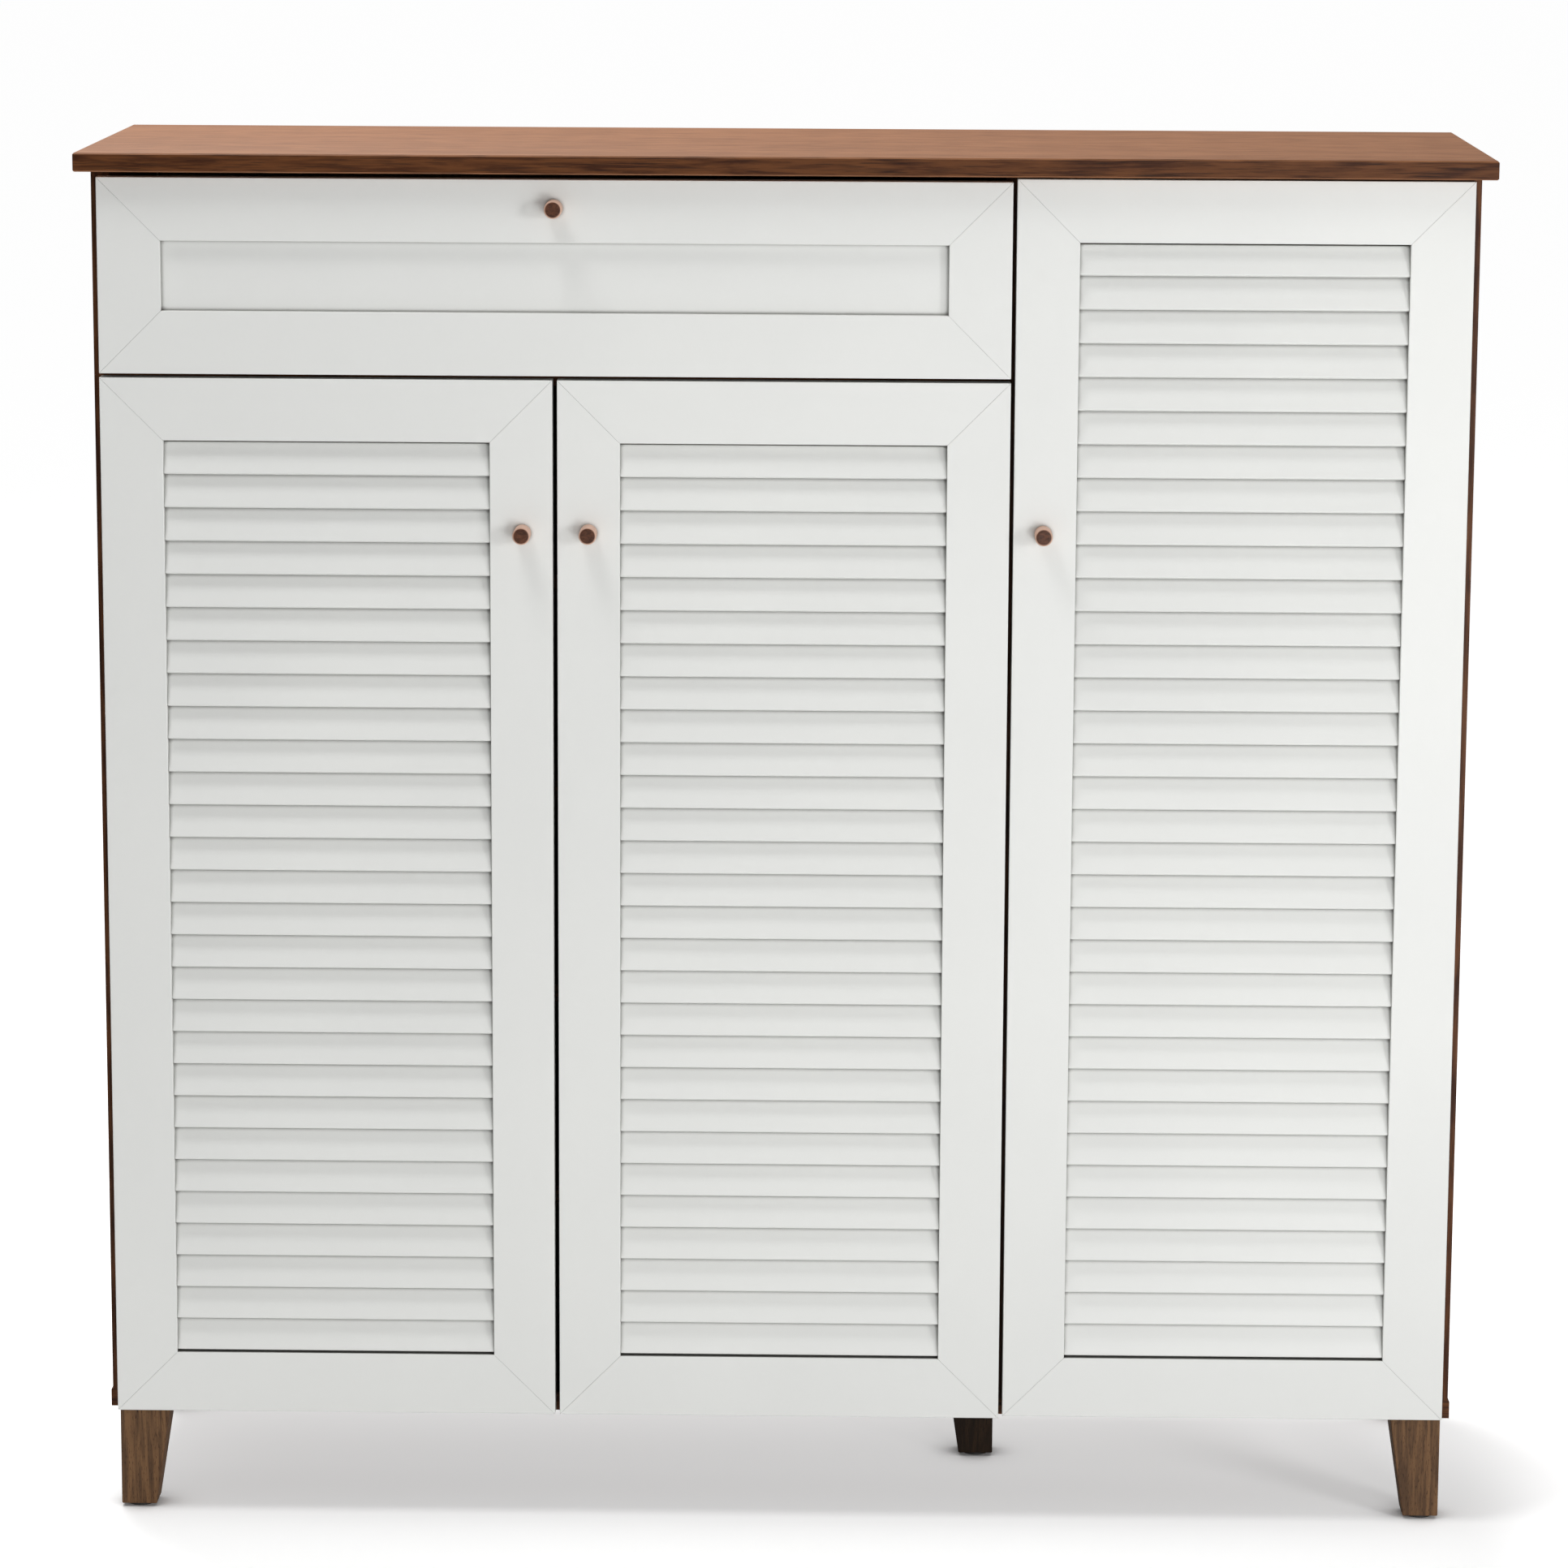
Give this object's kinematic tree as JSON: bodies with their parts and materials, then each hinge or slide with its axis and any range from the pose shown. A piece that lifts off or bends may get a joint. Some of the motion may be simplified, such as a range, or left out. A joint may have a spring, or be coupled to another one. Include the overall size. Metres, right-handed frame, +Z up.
{
  "type": "shoe cabinet",
  "caption": "Tall free-standing shoe cabinet with a walnut case on tapered feet, white louvred doors over adjustable shelves, and a wide drawer under the top.",
  "frame": {"origin": "centre of the bounding box on the floor plane", "axes": "+Z up, +X to the right as seen from the front, +Y to the back, so doors and drawer face -Y"},
  "size_m": [1.2, 0.387, 1.2],
  "materials": {
    "walnut_board": "walnut veneer, satin",
    "walnut_shelf": "walnut laminate, satin",
    "walnut_solid": "stained hardwood, satin",
    "walnut_turned": "stained hardwood, satin",
    "white_lacquer": "white satin lacquer",
    "drawer_board": "walnut laminate, satin",
    "hardboard": "hardboard, matt",
    "nickel_steel": "nickel plated",
    "zinc_steel": "zinc plated",
    "runner_steel": "cream powder coat",
    "roller_nylon": "moulded nylon",
    "glide_plastic": "moulded plastic",
    "bumper_rubber": "soft translucent"
  },
  "bodies": {
    "cabinet": {"back_panel_left": "hardboard", "back_panel_right": "hardboard", "base_board": "walnut_board", "cabinet_runners": "runner_steel", "cam_fittings": "nickel_steel", "centre_partition": "walnut_board", "door_bumpers": "bumper_rubber", "drawer_deck": "walnut_board", "foot_bolts": "zinc_steel", "foot_centre": "walnut_solid", "foot_front_left": "walnut_solid", "foot_front_right": "walnut_solid", "foot_glides": "glide_plastic", "foot_rear_left": "walnut_solid", "foot_rear_right": "walnut_solid", "hinge_arms": "nickel_steel", "left_shelf_1": "walnut_shelf", "left_shelf_2": "walnut_shelf", "left_shelf_3": "walnut_shelf", "left_shelf_4": "walnut_shelf", "left_side_panel": "walnut_board", "right_shelf_1": "walnut_shelf", "right_shelf_2": "walnut_shelf", "right_shelf_3": "walnut_shelf", "right_shelf_4": "walnut_shelf", "right_shelf_5": "walnut_shelf", "right_side_panel": "walnut_board", "shelf_pins": "nickel_steel", "top_panel": "walnut_board"},
    "left_door": {"left_door_hinge_cups": "nickel_steel", "left_door_knob": "walnut_turned", "left_door_knob_screw": "zinc_steel", "left_door_rails": "white_lacquer", "left_door_slats": "white_lacquer", "left_door_stiles": "white_lacquer"},
    "centre_door": {"centre_door_hinge_cups": "nickel_steel", "centre_door_knob": "walnut_turned", "centre_door_knob_screw": "zinc_steel", "centre_door_rails": "white_lacquer", "centre_door_slats": "white_lacquer", "centre_door_stiles": "white_lacquer"},
    "right_door": {"right_door_hinge_cups": "nickel_steel", "right_door_knob": "walnut_turned", "right_door_knob_screw": "zinc_steel", "right_door_rails": "white_lacquer", "right_door_slats": "white_lacquer", "right_door_stiles": "white_lacquer"},
    "drawer": {"drawer_back": "drawer_board", "drawer_bottom": "hardboard", "drawer_front_panel": "white_lacquer", "drawer_front_rails": "white_lacquer", "drawer_front_stiles": "white_lacquer", "drawer_knob": "walnut_turned", "drawer_knob_screw": "zinc_steel", "drawer_runners": "runner_steel", "drawer_side_left": "drawer_board", "drawer_side_right": "drawer_board"},
    "drawer_rollers": {"drawer_rollers": "roller_nylon"},
    "rail_rollers": {"rail_rollers": "roller_nylon"}
  },
  "joints": [
    {"name": "left_door_hinge", "type": "hinge", "parent": "cabinet", "child": "left_door", "pos_m": [-0.5743, -0.1665, 0.6], "axis": [0, 0, -1], "range_deg": [0, 95]},
    {"name": "centre_door_hinge", "type": "hinge", "parent": "cabinet", "child": "centre_door", "pos_m": [0.1848, -0.1665, 0.6], "axis": [0, 0, 1], "range_deg": [0, 95]},
    {"name": "right_door_hinge", "type": "hinge", "parent": "cabinet", "child": "right_door", "pos_m": [0.5743, -0.1665, 0.6], "axis": [0, 0, 1], "range_deg": [0, 95]},
    {"name": "drawer_slide", "type": "slide", "parent": "cabinet", "child": "drawer", "axis": [0, -1, 0], "range_m": [0, 0.23]},
    {"name": "rail_roller_spin", "type": "hinge", "parent": "cabinet", "child": "rail_rollers", "pos_m": [0, -0.1375, 1.0433], "axis": [1, 0, 0], "range_deg": [0, 1466]},
    {"name": "drawer_roller_spin", "type": "hinge", "parent": "drawer", "child": "drawer_rollers", "pos_m": [0, 0.1385, 1.042], "axis": [1, 0, 0], "range_deg": [0, 1257]}
  ],
  "couplings": [
    {"joint": "rail_roller_spin", "follows": "drawer_slide", "rad_per_m": 111.11},
    {"joint": "drawer_roller_spin", "follows": "drawer_slide", "rad_per_m": 95.238}
  ]
}
